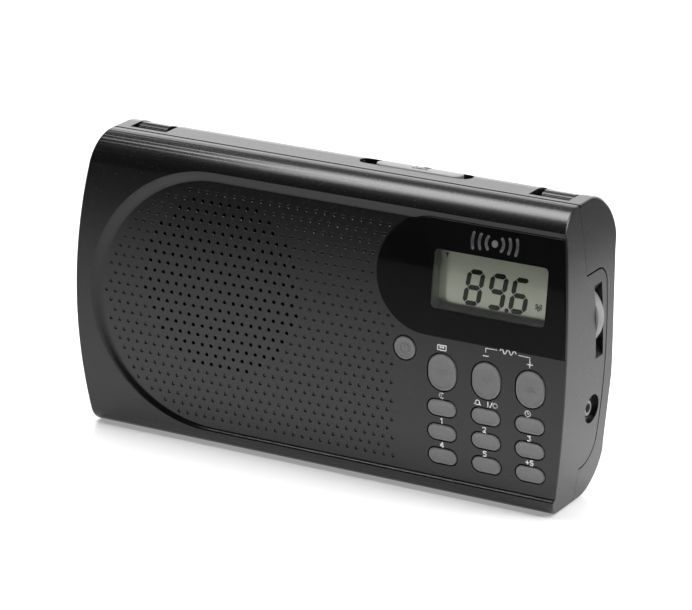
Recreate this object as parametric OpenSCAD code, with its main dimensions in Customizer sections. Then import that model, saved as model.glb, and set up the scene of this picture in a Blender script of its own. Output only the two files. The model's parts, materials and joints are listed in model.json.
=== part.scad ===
// Portable clock radio: a barrel-ended case in two shells, loudspeaker behind a drilled grille,
// display window, key pad, volume thumbwheel, fold-back carrying handle and telescopic aerial.
// Millimetres. X runs along the case, -Y is the front, +Z is up. The origin is the centre of the
// whole object's bounding box, on the surface it stands on.

/* [Case] */
// Height of the case
case_h = 110.3; // [109.9:0.1:110.7]
// Half of the widest width, at mid height
case_half_w = 100.9; // [100.5:0.1:101.3]
// Radius of each barrel-shaped end, seen from the front
end_r = 300; // [290:5:320]
// Radius of the front face, seen from the end
face_r = 305; // [300:1:310]
// Foremost point of the front face
face_y = -22.8; // [-23:0.1:-22.6]
// Height of the foremost line of the front face
face_mid_z = 40; // [39:0.5:41]
// Thickness of the case wall
wall = 2.6; // [2.5:0.05:2.7]
// Y of the joint between the two shells
split_y = -3.2; // [-3.4:0.1:-3]
// Depth of the sunk panel in the front face
recess_depth = 1.3; // [1.1:0.05:1.4]

/* [Grille] */
// Distance between holes in a row
hole_pitch_x = 3.76; // [3.7:0.02:3.84]
// Distance between rows
hole_pitch_z = 3.54; // [3.5:0.02:3.6]
// Diameter of a grille hole
hole_d = 1.5; // [1.2:0.1:1.8]
// Radius of the drilled area
hole_area_r = 33; // [30:0.2:33.4]

/* [Keys] */
// Width of the oval keys
key_w = 11.2; // [11:0.1:11.4]
// Gap around each key
key_gap = 0.3; // [0.25:0.05:0.4]

/* [Volume wheel] */
// Radius of the thumbwheel
wheel_r = 13; // [12.8:0.05:13.1]
// How far the wheel stands out of the end
wheel_proud = 0.8; // [0.7:0.05:0.9]

/* [Hidden] */
$fn = 96;

face_cy = face_y + face_r;
top_front_r = 13;
base_front_r = 6;
top_rear_r = 16;
base_rear_r = 16;
rear_y93 = 22.7;
rear_lean = 0.078;
rear_cos = cos(atan(rear_lean));
rear_n = [rear_cos, -rear_lean * rear_cos];

function face_at(z, t = 0) = face_cy - sqrt(pow(face_r - t, 2) - pow(z - face_mid_z, 2));
function rear_at(z, t = 0) = rear_y93 + rear_lean * (z - 93) - t / rear_cos;
function corner_y(r, z) = face_cy - sqrt(pow(face_r - r, 2) - pow(z - face_mid_z, 2));

c_tf = [corner_y(top_front_r, case_h - top_front_r), case_h - top_front_r];
c_bf = [corner_y(base_front_r, base_front_r), base_front_r];
c_tr = [rear_at(case_h - top_rear_r, top_rear_r), case_h - top_rear_r];
c_br = [rear_at(base_rear_r, base_rear_r), base_rear_r];
face_c = [face_cy, face_mid_z];

// sunk panel and display window
panel_c = [-45.5, 54.7];
panel_r = 48.8;
lens_c = [45.8, 80.8];
lens_r = 20.8;
lcd_x = 69.85;
lcd_z = 80.65;
lcd_w = 44.7;
lcd_h = 20.9;

// loudspeaker, and the hole at the middle of the grille's pattern
spk = [-39.4, 62.7];
lattice = [-41, 64.3];
spk_seat_y = -14.5;

// keys: centre x, centre z, width, height
key_rows = [33.6, 24.3, 15.1];
key_cols = [52.7, 70.2, 87.5];
key_flange_y = -18.5;
switch_y = -16.9;
board_y = -14.6;

// end sockets and wheel
socket_y = 1.4;
socket_z = 34.8;
wheel_x = case_half_w + wheel_proud - wheel_r;
wheel_z = 67.5;

// handle
pivot = [7.4, 105.7];
knuckle_r = 4.5;
arm_in = 77.3;
arm_out = 89.5;
grip_lo = 77.5;
grip_hi = 87.5;

// aerial: x and y of its upright axis, and height of its tilting pivot
aer = [-93.8, 15.5];
aer_pivot_z = 33;

// battery bay
cell_r = 7.1;
cell_y = 7.5;
cell_zs = [24.6, 39.4];

screw_xz = [[-90, 22], [90.5, 7.8], [-84, 68], [2, 93], [61.4, 58.5]];

// ---------------------------------------------------------------- helpers
module place() {
    translate([-wheel_proud / 2, 0, 0]) children();
}

// 2D (y, z) outline swept along X, centred
module along_x(len) {
    rotate([90, 0, 90]) linear_extrude(len, center = true) children();
}

// 2D (x, z) outline swept from y0 to y1
module along_y(y0, y1) {
    translate([0, y1, 0]) rotate([90, 0, 0]) linear_extrude(y1 - y0) children();
}

module rod_x(x0, x1, r, y, z) {
    translate([x0, y, z]) rotate([0, 90, 0]) cylinder(h = x1 - x0, r = r);
}

module rod_y(y0, y1, r, x, z) {
    translate([x, y1, z]) rotate([90, 0, 0]) cylinder(h = y1 - y0, r = r);
}

module slab(x0, x1, y0, y1, z0, z1) {
    translate([x0, y0, z0]) cube([x1 - x0, y1 - y0, z1 - z0]);
}

module round_rect(w, h, r) {
    square([w - 2 * r, h], center = true);
    square([w, h - 2 * r], center = true);
    for (i = [-1, 1], j = [-1, 1])
        translate([i * (w / 2 - r), j * (h / 2 - r)]) circle(r = r);
}

// oval with full-radius ends
module oval(w, h) {
    if (w > h) {
        square([w - h, h], center = true);
        for (i = [-1, 1]) translate([i * (w - h) / 2, 0]) circle(d = h);
    }
    if (w < h) {
        square([w, h - w], center = true);
        for (i = [-1, 1]) translate([0, i * (h - w) / 2]) circle(d = w);
    }
    if (w == h) circle(d = w);
}

// ---------------------------------------------------------------- case outlines
// points on an arc, for outlines made of tangent arcs
function arc_pts(c, r, a0, a1, n) = [for (i = [0:n])
    c + r * [cos(a0 + (a1 - a0) * i / n), sin(a0 + (a1 - a0) * i / n)]];

a_rear = -atan(rear_lean);
a_bf = 180 + asin((face_mid_z - c_bf[1]) / (face_r - base_front_r));
a_tf = 180 - asin((c_tf[1] - face_mid_z) / (face_r - top_front_r));

module side_profile(t = 0) {
    polygon(concat(
        arc_pts(c_tr, top_rear_r - t, 90, a_rear, 12),
        arc_pts(c_br, base_rear_r - t, a_rear, -90, 12),
        arc_pts(c_bf, base_front_r - t, -90, a_bf - 360, 8),
        arc_pts(face_c, face_r - t, a_bf, a_tf, 30),
        arc_pts(c_tf, top_front_r - t, a_tf, 90, 12)));
}

// only the upper rear corner of the case, for what follows it at a depth
module rear_corner(t) {
    polygon(concat([[-12, 60], [-12, case_h - t]], arc_pts(c_tr, top_rear_r - t, 90, a_rear, 12),
        [[rear_at(60, t), 60]]));
}

module barrel_outline(t = 0) {
    intersection() {
        translate([-110, -5]) square([220, 130]);
        translate([case_half_w - end_r, 56]) circle(r = end_r - t, $fn = 360);
        translate([end_r - case_half_w, 56]) circle(r = end_r - t, $fn = 360);
    }
}

module solid_case(t = 0) {
    intersection() {
        along_x(206) side_profile(t);
        along_y(-40, 40) barrel_outline(t);
    }
}

module skin() {
    difference() {
        solid_case(0);
        solid_case(wall);
    }
}

// the part of each end wall that belongs to the front shell, seen from the side
module tab_outline(g = 0) {
    polygon(concat([[-12, 13.4 - g]], arc_pts([-2.1, 23], 9.6 + g, -90, a_rear, 10),
        arc_pts([6.4, 79.9], 5 + g, a_rear, 90, 8), [[-12, 84.9 + g]]));
}

module front_region(g = 0) {
    slab(-120, 120, -60, split_y + g, -10, 130);
    for (s = [-1, 1]) translate([s * 106, 0, 0]) along_x(26) tab_outline(g);
}

module panel_outline() {
    translate(panel_c) circle(r = panel_r, $fn = 180);
    translate([panel_c[0], panel_c[1] - panel_r]) square([170, 2 * panel_r]);
}

module lens_outline(g = 0) {
    translate(lens_c) circle(r = lens_r + g);
    translate([lens_c[0], lens_c[1] - lens_r - g]) square([80, 2 * (lens_r + g)]);
}

// everything behind a depth t under the front face
module behind_face(t) {
    translate([0, face_cy, face_mid_z]) rotate([0, 90, 0])
        cylinder(h = 240, r = face_r - t, center = true, $fn = 360);
}

module grille_holes() {
    for (row = [-10:10], col = [-10:10]) {
        p = lattice + [(col + (abs(row) % 2) / 2) * hole_pitch_x, row * hole_pitch_z];
        if (norm(p - spk) < hole_area_r) rod_y(-30, spk_seat_y, hole_d / 2, p[0], p[1], $fn = 16);
    }
}

// ---------------------------------------------------------------- keys
module key_outlines(g = 0) {
    translate([37.5, 53.4]) circle(d = 8.5 + 2 * g);
    for (x = key_cols) {
        translate([x, 47]) oval(key_w + 2 * g, 13.6 + 2 * g);
        for (z = key_rows) translate([x, z]) oval(key_w + 2 * g, 5.9 + 2 * g);
    }
}

module key(x, z, w, h) {
    color([0.33, 0.33, 0.34]) place() {
        intersection() {
            translate([x, 0, z]) along_y(-26, key_flange_y + 0.8) oval(w, h);
            behind_face(0.3);
        }
        translate([x, 0, z]) along_y(key_flange_y, key_flange_y + 0.8) oval(w + 2, h + 2);
        rod_y(key_flange_y + 0.7, switch_y + 0.4, 1.6, x, z);
    }
}

// ---------------------------------------------------------------- case nodes
module front_shell() {
    color([0.05, 0.05, 0.055]) place() difference() {
        union() {
            intersection() {
                skin();
                front_region();
            }
            // seat for the loudspeaker
            intersection() {
                difference() {
                    rod_y(-22, spk_seat_y, 35.2, spk[0], spk[1]);
                    rod_y(-23, spk_seat_y + 1, 32.2, spk[0], spk[1]);
                }
                behind_face(wall - 0.2);
            }
            // posts for the speaker screws
            intersection() {
                for (a = [30, 150, 270])
                    rod_y(-22, -13.3, 2.2, spk[0] + 36.6 * cos(a), spk[1] + 36.6 * sin(a));
                behind_face(wall - 0.2);
            }
            // bosses the case screws bite into
            intersection() {
                for (p = screw_xz) rod_y(-22, split_y - 0.2, 3, p[0], p[1]);
                behind_face(wall - 0.2);
                solid_case(1);
            }
        }
        // sunk panel
        difference() {
            along_y(-30, -6) panel_outline();
            behind_face(recess_depth);
        }
        // display opening
        translate([lcd_x, 0, lcd_z]) along_y(-30, -12) round_rect(lcd_w + 2, lcd_h + 2, 2.6);
        // key openings
        along_y(-30, -17) key_outlines(key_gap);
        grille_holes();
        // screw pilot holes
        for (p = screw_xz) rod_y(-13, 0, 1.15, p[0], p[1]);
        for (a = [30, 150, 270])
            rod_y(-17, -12, 0.85, spk[0] + 36.6 * cos(a), spk[1] + 36.6 * sin(a));
        // slot for the volume wheel
        translate([100, 4.85, wheel_z]) along_x(12) round_rect(5.7, 21.4, 1.6);
        for (s = [-1, 1]) rod_y(2, 7.7, 9, case_half_w + 6.6, wheel_z + 8 * s);
        // dished socket openings at both ends
        for (s = [-1, 1]) {
            translate([s * 103.4, 0, 0]) rod_x(-5, 5, 5.3, socket_y, socket_z);
            translate([s * 97, 0, 0]) rod_x(-5, 5, 3.3, socket_y, socket_z);
        }
    }
}

module handle_u(g, top) {
    difference() {
        union() {
            translate([0, (grip_lo + 130) / 2])
                round_rect(2 * (arm_out + g), 130 - grip_lo + 2 * g, 9 + g);
        }
        translate([0, (grip_hi + 140) / 2])
            round_rect(2 * (arm_in - g), 140 - grip_hi - 2 * g, 5 - g);
        translate([-120, top]) square([240, 60]);
    }
}

// the sunk track that the folded handle lies in
module handle_track(d, g) {
    intersection() {
        along_y(pivot[0] - 1, 40) handle_u(g, 200);
        difference() {
            along_x(220) rear_corner(-3);
            along_x(221) rear_corner(d);
        }
    }
}

// room above the grip that it swings out through, and a place for fingers
module grip_scoop(d, g) {
    along_x(155.6 + 2 * g) difference() {
        translate([12, 77 - g]) square([30, 24 + 2 * g]);
        rear_corner(d);
        translate(pivot) circle(r = 15.8 - g);
    }
}

module handle_pocket(g) {
    for (s = [-1, 1]) translate([s * 82.45, 0, 0]) along_x(15.7 + 2 * g) {
        translate(pivot) circle(r = 7.5 + g);
        translate([pivot[0] - 7.5 - g, pivot[1]]) square([14, 12]);
    }
}

// the cut-away upright corner that the aerial stands in, open to the rear and to the left
module aerial_corner(g) {
    slab(-120, -91.2 + g, 12.9 - g, 40, 26.9 - g, 125);
}

module battery_hole(g) {
    translate([0, 0, 32]) along_y(5, 40) round_rect(114 + 2 * g, 29.2 + 2 * g, 2 + g);
}

module rear_shell() {
    color([0.05, 0.05, 0.055]) place() difference() {
        union() {
            difference() {
                skin();
                front_region(0.15);
            }
            intersection() {
                union() {
                    handle_track(8, 1.8);
                    handle_pocket(1.6);
                    grip_scoop(8, 1.8);
                    aerial_corner(1.8);
                    translate([aer[0], aer[1], 22.4]) cylinder(h = 4, r = 3);
                    slab(-56.1, 56.1, -1.5, 30, 15.5, 48.5);
                    for (p = screw_xz) rod_y(split_y + 0.15, 30, 3, p[0], p[1]);
                }
                solid_case(1);
                slab(-110, 110, split_y + 0.15, 40, 0, 120);
                difference() {
                    slab(-110, 110, -20, 40, 0, 120);
                    front_region(0.15);
                }
            }
        }
        handle_track(6.4, 0.5);
        handle_pocket(0);
        grip_scoop(6.4, 0);
        aerial_corner(0);
        // handle pin bores
        for (s = [-1, 1]) translate([s * 82, 0, 0]) rod_x(-9.6, 9.6, 1.5, pivot[0], pivot[1]);
        // aerial pin bore
        translate([aer[0], aer[1], 23.2]) cylinder(h = 6, r = 1.33);
        // battery bay and its door opening
        slab(-54.5, 54.5, 0.1, 14.5, 17.1, 46.9);
        battery_hole(0);
        // case screws
        for (p = screw_xz) {
            rod_y(split_y - 1, 30, 1.6, p[0], p[1]);
            rod_y(split_y + 6, 30, 2.8, p[0], p[1]);
        }
        // snooze key slot, and the opening its stem passes
        translate([26.25, 6.9, 108.1]) linear_extrude(6) oval(45.5, 7);
        translate([27.75, 6.9, 100]) linear_extrude(12) oval(28, 4.2);
        // foot sockets
        for (s = [-1, 1]) translate([s * 70, 8, -1]) cylinder(h = 4.2, r = 5);
    }
}

module display_lens() {
    color([0.02, 0.02, 0.022]) place() intersection() {
        along_y(-30, -6) lens_outline(-0.1);
        along_y(-30, 0) barrel_outline(0.2);
        difference() {
            behind_face(0.35);
            behind_face(recess_depth);
        }
    }
}

module lcd_bezel() {
    color([0.45, 0.46, 0.42]) place() difference() {
        union() {
            translate([lcd_x, 0, lcd_z]) along_y(-26, -14.5)
                round_rect(lcd_w + 1.6, lcd_h + 1.6, 2.4);
            translate([lcd_x, 0, lcd_z]) along_y(-15, -14.5) square([50.5, 28], center = true);
        }
        translate([lcd_x, 0, lcd_z]) along_y(-27, -14) round_rect(lcd_w, lcd_h, 1.8);
        difference() {
            slab(0, 120, -40, -5, 50, 110);
            behind_face(recess_depth + 0.02);
        }
    }
}

module lcd_glass() {
    color([0.62, 0.64, 0.55]) place() slab(45.6, 94.1, -14.5, -12.3, 67.7, 93.6);
}

module lcd_light_guide() {
    color([0.9, 0.9, 0.86]) place() difference() {
        union() {
            slab(46.5, 93.2, -12.3, -9.6, 68.5, 92.8);
            slab(40.5, 46.5, -12.3, -10.3, 74, 87);
        }
        rod_y(-13, -9, 1, 43, 80.5);
    }
}

module lcd_connector() {
    color([0.85, 0.35, 0.5]) place() slab(50, 90, -12.3, -7.2, 64.6, 66.8);
}

// ---------------------------------------------------------------- loudspeaker
module speaker_gasket() {
    color([0.12, 0.12, 0.12]) place() difference() {
        rod_y(spk_seat_y, spk_seat_y + 0.6, 33.4, spk[0], spk[1]);
        rod_y(spk_seat_y - 1, spk_seat_y + 1, 30.6, spk[0], spk[1]);
    }
}

module speaker_basket() {
    y0 = spk_seat_y + 0.6;
    color([0.55, 0.55, 0.57]) place() difference() {
        translate([spk[0], 0, spk[1]]) rotate([-90, 0, 0]) rotate_extrude() polygon([
            [29.6, y0], [33.4, y0], [33.4, y0 + 0.6], [29.9, y0 + 0.6], [27, y0 + 3.2],
            [16, y0 + 7.4], [9, y0 + 7.4], [9, y0 + 6.7], [15.7, y0 + 6.7], [26.5, y0 + 2.6]]);
        for (a = [0:60:300])
            rod_y(-12, 0, 3.6, spk[0] + 21.5 * cos(a), spk[1] + 21.5 * sin(a));
    }
}

module speaker_cone() {
    y0 = spk_seat_y + 0.9;
    color([0.1, 0.1, 0.1]) place() translate([spk[0], 0, spk[1]]) rotate([-90, 0, 0])
        rotate_extrude() polygon([[8.2, y0 + 5.2], [24.6, y0 + 1.4], [25.4, y0 + 0.4],
            [26.8, y0 - 0.2], [28.2, y0 - 0.5], [30.3, y0 - 0.6], [30.3, y0 - 0.34],
            [29, y0 - 0.34], [28.2, y0 - 0.2], [26.8, y0 + 0.1], [25.7, y0 + 0.8],
            [24.8, y0 + 1.8], [8.2, y0 + 5.6]]);
}

module speaker_cap() {
    color([0.07, 0.07, 0.07]) place() translate([spk[0], 0, spk[1]]) rotate([-90, 0, 0])
        rotate_extrude() intersection() {
            translate([0, -10.6 + 11]) difference() {
                circle(r = 12);
                circle(r = 11.6);
            }
            translate([0, -13]) square([9.4, 4.6]);
        }
}

module speaker_magnet() {
    color([0.3, 0.3, 0.31]) place() translate([spk[0], 0, spk[1]]) rotate([-90, 0, 0])
        rotate_extrude() polygon([[0, -6.4], [13.4, -6.4], [13.4, -5.4], [12.9, -5.4],
            [12.9, -0.6], [13.4, -0.6], [13.4, 0.4], [0, 0.4]]);
}

module speaker_screws() {
    color([0.7, 0.7, 0.72]) place() for (a = [30, 150, 270]) {
        x = spk[0] + 36.6 * cos(a);
        z = spk[1] + 36.6 * sin(a);
        rod_y(-13.3, -12.5, 3.6, x, z);
        difference() {
            rod_y(-12.6, -11.3, 2, x, z);
            for (q = [0, 90])
                translate([x, -11.3, z]) rotate([0, q, 0]) cube([2.4, 1.2, 0.5], center = true);
        }
        rod_y(-16.6, -13.2, 0.84, x, z);
    }
}

// ---------------------------------------------------------------- boards
module main_board() {
    color([0.1, 0.3, 0.16]) place() difference() {
        slab(20, 94, -7.2, -5.6, 10, 97);
        for (p = screw_xz) rod_y(-9, -4, 3.5, p[0], p[1]);
        for (p = [[24, 14], [24, 92], [90, 92]]) rod_y(-9, -4, 1.2, p[0], p[1]);
    }
}

module key_board() {
    color([0.1, 0.3, 0.16]) place() difference() {
        slab(32, 94, board_y, board_y + 1.2, 9, 58);
        for (p = screw_xz) rod_y(-17, -10, 3.5, p[0], p[1]);
        for (p = [[34.5, 12], [34.5, 40], [92, 56]]) rod_y(-17, -10, 1, p[0], p[1]);
    }
}

module tact_switch(x, z) {
    difference() {
        translate([x - 3, switch_y, z - 3]) cube([6, board_y - switch_y, 6]);
        rod_y(switch_y - 1, switch_y + 1.7, 1.66, x, z);
    }
}

module key_switches() {
    color([0.12, 0.12, 0.13]) place() {
        tact_switch(37.5, 53.4);
        for (x = key_cols, z = concat([47], key_rows)) tact_switch(x, z);
    }
}

module chips() {
    color([0.06, 0.06, 0.065]) place() {
        slab(44, 58, -5.6, -3.6, 80, 90);
        slab(66, 76, -5.6, -3.8, 84, 92);
        slab(30, 36, -5.6, -4, 20, 29);
        slab(66, 70, -5.6, -4.2, 30, 35);
    }
}

module capacitors() {
    color([0.12, 0.16, 0.35]) place() for (p = [[28, 70, 2.5, 2.9], [34, 64, 2.5, 2.9],
        [28, 58, 2, 2.4], [80, 86, 2, 2.9], [30, 84, 3.2, 3.6], [40, 72, 2, 2.4]])
        rod_y(-5.6, -5.6 + 2 * p[3], p[2], p[0], p[1]);
}

module coil_cans() {
    color([0.75, 0.75, 0.76]) place() for (p = [[44, 64], [52, 64], [48, 72]])
        difference() {
            slab(p[0] - 3, p[0] + 3, -5.6, 1.6, p[1] - 3, p[1] + 3);
            rod_y(1, 3, 1.4, p[0], p[1]);
        }
}

module ferrite_rod() {
    color([0.2, 0.19, 0.19]) place() rod_x(-68, -4, 4, 2.5, 101);
}

module ferrite_coil() {
    color([0.72, 0.42, 0.2]) place() difference() {
        union() {
            rod_x(-60, -40, 5, 2.5, 101);
            rod_x(-61.5, -60, 5.6, 2.5, 101);
            rod_x(-40, -38.5, 5.6, 2.5, 101);
        }
        rod_x(-62, -38, 4.02, 2.5, 101);
    }
}

module ribbon() {
    color([0.8, 0.8, 0.76]) place() {
        slab(66, 80, -13.4, -13.1, 58.2, 62);
        slab(66, 80, -13.4, -7.2, 62, 62.3);
    }
}

module snooze_board() {
    color([0.1, 0.3, 0.16]) place() slab(12, 44, 1, 11.4, 100, 101.2);
}

module snooze_switch() {
    color([0.12, 0.12, 0.13]) place() difference() {
        slab(24.75, 30.75, 3.9, 9.9, 101.2, 104.4);
        translate([27.75, 6.9, 102.6]) cylinder(h = 3, r = 1.66);
    }
}

// ---------------------------------------------------------------- controls and sockets
module volume_pot() {
    color([0.35, 0.35, 0.36]) place() difference() {
        union() {
            slab(wheel_x - 6, wheel_x + 5.3, -5.6, 0.8, wheel_z - 6, wheel_z + 6);
            rod_y(0.7, 1.9, 4.6, wheel_x, wheel_z);
        }
        rod_y(-4.5, 2, 3.05, wheel_x, wheel_z);
    }
}

module volume_wheel() {
    color([0.6, 0.6, 0.61]) place() {
        difference() {
            rod_y(2.5, 7.2, wheel_r, wheel_x, wheel_z);
            for (i = [0:47]) translate([wheel_x, 0, wheel_z]) rotate([0, 7.5 * i, 0])
                translate([0, 0, wheel_r + 0.15]) rotate([90, 0, 0])
                    cylinder(h = 20, r = 0.5, center = true, $fn = 16);
            difference() {
                rod_y(5.7, 8, wheel_r - 2, wheel_x, wheel_z);
                rod_y(5, 9, 4.4, wheel_x, wheel_z);
            }
        }
        rod_y(-4, 2.6, 3, wheel_x, wheel_z);
    }
}

module headphone_socket() {
    color([0.07, 0.07, 0.075]) place() difference() {
        union() {
            slab(85.5, 96.9, -4.2, 6.6, 29.4, 40.2);
            rod_x(96.8, 98.1, 3.2, socket_y, socket_z);
        }
        rod_x(86.5, 99, 1.75, socket_y, socket_z);
        rod_x(96.9, 99, 2.7, socket_y, socket_z);
    }
}

module socket_ring() {
    color([0.75, 0.75, 0.76]) place() difference() {
        rod_x(96.9, 98.6, 2.69, socket_y, socket_z);
        rod_x(96, 100, 1.75, socket_y, socket_z);
    }
}

module dc_socket() {
    color([0.07, 0.07, 0.075]) place() {
        difference() {
            union() {
                slab(-96.9, -85.5, -4.2, 6.6, 29.4, 40.2);
                rod_x(-98.4, -96.8, 3.2, socket_y, socket_z);
            }
            rod_x(-99, -87.5, 2, socket_y, socket_z);
        }
        rod_x(-97.4, -87, 0.65, socket_y, socket_z);
    }
}

module snooze_key() {
    color([0.33, 0.33, 0.34]) place() {
        intersection() {
            translate([27.75, 6.9, 108.9]) linear_extrude(1.4) oval(34.5, 6.3);
            along_x(200) side_profile(0.05);
        }
        translate([27.75, 6.9, 106.8]) linear_extrude(2.2) oval(27.6, 3.8);
        translate([27.75, 6.9, 106.5]) linear_extrude(0.6) oval(29.6, 5.4);
        translate([27.75, 6.9, 104]) cylinder(h = 2.6, r = 1.6);
    }
}

// ---------------------------------------------------------------- power
module battery_cells() {
    color([0.2, 0.3, 0.55]) place() for (k = [0, 1], i = [0, 1]) {
        s = k == 0 ? 1 : -1;
        x0 = s > 0 ? 53.7 - 50.5 * (i + 1) : -53.7 + 50.5 * i;
        rod_x(s > 0 ? x0 : x0 + 1.4, s > 0 ? x0 + 49.1 : x0 + 50.48, cell_r, cell_y, cell_zs[k]);
        rod_x(s > 0 ? x0 + 49 : x0, s > 0 ? x0 + 50.49 : x0 + 1.5, 2.75, cell_y, cell_zs[k]);
    }
}

module battery_contacts() {
    color([0.78, 0.78, 0.8]) place() for (s = [-1, 1], z = cell_zs)
        translate([s * 54.15, cell_y, z]) cube([0.6, 10, 10], center = true);
}

module battery_springs() {
    color([0.8, 0.8, 0.82]) place() for (k = [0, 1], i = [0:4]) {
        s = k == 0 ? -1 : 1;
        x = s * (53.45 - i * 1.35);
        r = 4.4 - 0.45 * i;
        translate([x, cell_y, cell_zs[k]]) rotate([0, 90, 0])
            rotate_extrude() translate([r, 0]) circle(r = 0.4, $fn = 24);
        if (i < 4) translate([x - s * 0.675, cell_y + r - 0.2, cell_zs[k]])
            cube([1.35, 0.8, 0.5], center = true);
    }
}

module battery_door() {
    color([0.05, 0.05, 0.055]) place() difference() {
        intersection() {
            translate([0, 0, 32]) along_y(8, 40) round_rect(113.6, 28.8, 1.8);
            difference() {
                solid_case(0);
                along_x(220) polygon([[-20, -10], [rear_at(-10, 2.3), -10],
                    [rear_at(120, 2.3), 120], [-20, 120]]);
            }
        }
        for (i = [0:4]) rod_x(-8, 8, 0.5, rear_at(36 + 1.6 * i, -0.2), 36 + 1.6 * i, $fn = 24);
    }
}

module case_screws() {
    color([0.35, 0.35, 0.37]) place() for (p = screw_xz) {
        difference() {
            rod_y(split_y + 6, split_y + 8.2, 2.7, p[0], p[1]);
            for (q = [0, 90]) translate([p[0], split_y + 8.2, p[1]]) rotate([0, q, 0])
                cube([3.4, 2, 0.7], center = true);
        }
        rod_y(-12, split_y + 6.1, 1.14, p[0], p[1]);
    }
}

module feet() {
    color([0.08, 0.08, 0.08]) place() for (s = [-1, 1])
        translate([s * 70, 8, 0]) cylinder(h = 3.2, r = 4.98);
}

// ---------------------------------------------------------------- handle
module handle() {
    color([0.06, 0.06, 0.065]) place() difference() {
        union() {
            intersection() {
                along_y(pivot[0], 40) handle_u(0, 200);
                difference() {
                    along_x(220) rear_corner(0.3);
                    along_x(221) rear_corner(6);
                }
            }
            for (s = [-1, 1]) translate([s * 83.4, 0, 0]) rod_x(-6.1, 6.1, knuckle_r, pivot[0], pivot[1]);
        }
        for (s = [-1, 1]) translate([s * 83.4, 0, 0]) {
            rod_x(-7, 7, 1.55, pivot[0], pivot[1]);
            for (a = [70, 98, 126]) rod_x(-7, 7, 0.35, pivot[0] + 4.62 * cos(a),
                pivot[1] + 4.62 * sin(a), $fn = 16);
        }
    }
}

module handle_pins() {
    color([0.7, 0.7, 0.72]) place() for (s = [-1, 1]) translate([s * 82, 0, 0])
        rod_x(-9.5, 9.5, 1.49, pivot[0], pivot[1]);
}

// ---------------------------------------------------------------- aerial
module aerial_rod(z0, z1, r) {
    translate([aer[0], aer[1], z0]) cylinder(h = z1 - z0, r = r);
}

module aerial_base() {
    color([0.75, 0.75, 0.77]) place() {
        aerial_rod(23.6, 27.2, 1.3);
        aerial_rod(27.1, 31.4, 2.2);
        difference() {
            intersection() {
                aerial_rod(31.3, 35.2, 2.2);
                union() {
                    rod_x(aer[0] - 3, aer[0] + 3, 2.1, aer[1], aer_pivot_z);
                    slab(aer[0] - 3, aer[0] + 3, aer[1] - 2.1, aer[1] + 2.1, 31, aer_pivot_z);
                }
            }
            slab(aer[0] - 0.85, aer[0] + 0.85, 10, 20, 31.4, 40);
        }
    }
}

module aerial_tube_1() {
    color([0.8, 0.8, 0.82]) place() difference() {
        union() {
            aerial_rod(35.5, 96, 2.25);
            rod_x(aer[0] - 0.8, aer[0] + 0.8, 1.5, aer[1], aer_pivot_z);
            slab(aer[0] - 0.8, aer[0] + 0.8, aer[1] - 1.4, aer[1] + 1.4, aer_pivot_z, 36);
        }
        aerial_rod(38.5, 97, 1.85);
    }
}

module aerial_tube_2() {
    color([0.8, 0.8, 0.82]) place() difference() {
        aerial_rod(39, 96.8, 1.8);
        aerial_rod(41.5, 98, 1.4);
    }
}

module aerial_tube_3() {
    color([0.8, 0.8, 0.82]) place() difference() {
        aerial_rod(42, 97.6, 1.35);
        aerial_rod(44.5, 99, 0.95);
    }
}

module aerial_tip() {
    color([0.8, 0.8, 0.82]) place() {
        aerial_rod(45, 98.4, 0.9);
        aerial_rod(98.2, 102.4, 2.2);
    }
}

// ---------------------------------------------------------------- the object
front_shell();
rear_shell();
display_lens();
lcd_bezel();
lcd_glass();
lcd_light_guide();
lcd_connector();
speaker_gasket();
speaker_basket();
speaker_cone();
speaker_cap();
speaker_magnet();
speaker_screws();
main_board();
key_board();
key_switches();
chips();
capacitors();
coil_cans();
ferrite_rod();
ferrite_coil();
ribbon();
snooze_board();
snooze_switch();
volume_pot();
headphone_socket();
socket_ring();
dc_socket();
battery_cells();
battery_contacts();
battery_springs();
battery_door();
case_screws();
feet();
handle();
handle_pins();
aerial_base();
aerial_tube_1();
aerial_tube_2();
aerial_tube_3();
aerial_tip();
snooze_key();
volume_wheel();
key(37.5, 53.4, 8.5, 8.5);  // key_power
key(key_cols[0], 47, key_w, 13.6);  // key_memory
key(key_cols[1], 47, key_w, 13.6);  // key_tune_down
key(key_cols[2], 47, key_w, 13.6);  // key_tune_up
key(key_cols[0], key_rows[0], key_w, 5.9);  // key_sleep
key(key_cols[1], key_rows[0], key_w, 5.9);  // key_alarm
key(key_cols[2], key_rows[0], key_w, 5.9);  // key_time
key(key_cols[0], key_rows[1], key_w, 5.9);  // key_1
key(key_cols[1], key_rows[1], key_w, 5.9);  // key_2
key(key_cols[2], key_rows[1], key_w, 5.9);  // key_3
key(key_cols[0], key_rows[2], key_w, 5.9);  // key_4
key(key_cols[1], key_rows[2], key_w, 5.9);  // key_5
key(key_cols[2], key_rows[2], key_w, 5.9);  // key_plus_5
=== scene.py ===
"""Looks of the clock radio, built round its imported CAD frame.

Shapes are worked out in millimetres, x from the middle of the case, and put() turns them into metres
in the row frame. Every piece rides on the CAD body that it belongs to.
"""

import json
import math

import bmesh
import bpy
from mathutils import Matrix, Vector
from mathutils.geometry import delaunay_2d_cdt
from mathutils.kdtree import KDTree


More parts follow.
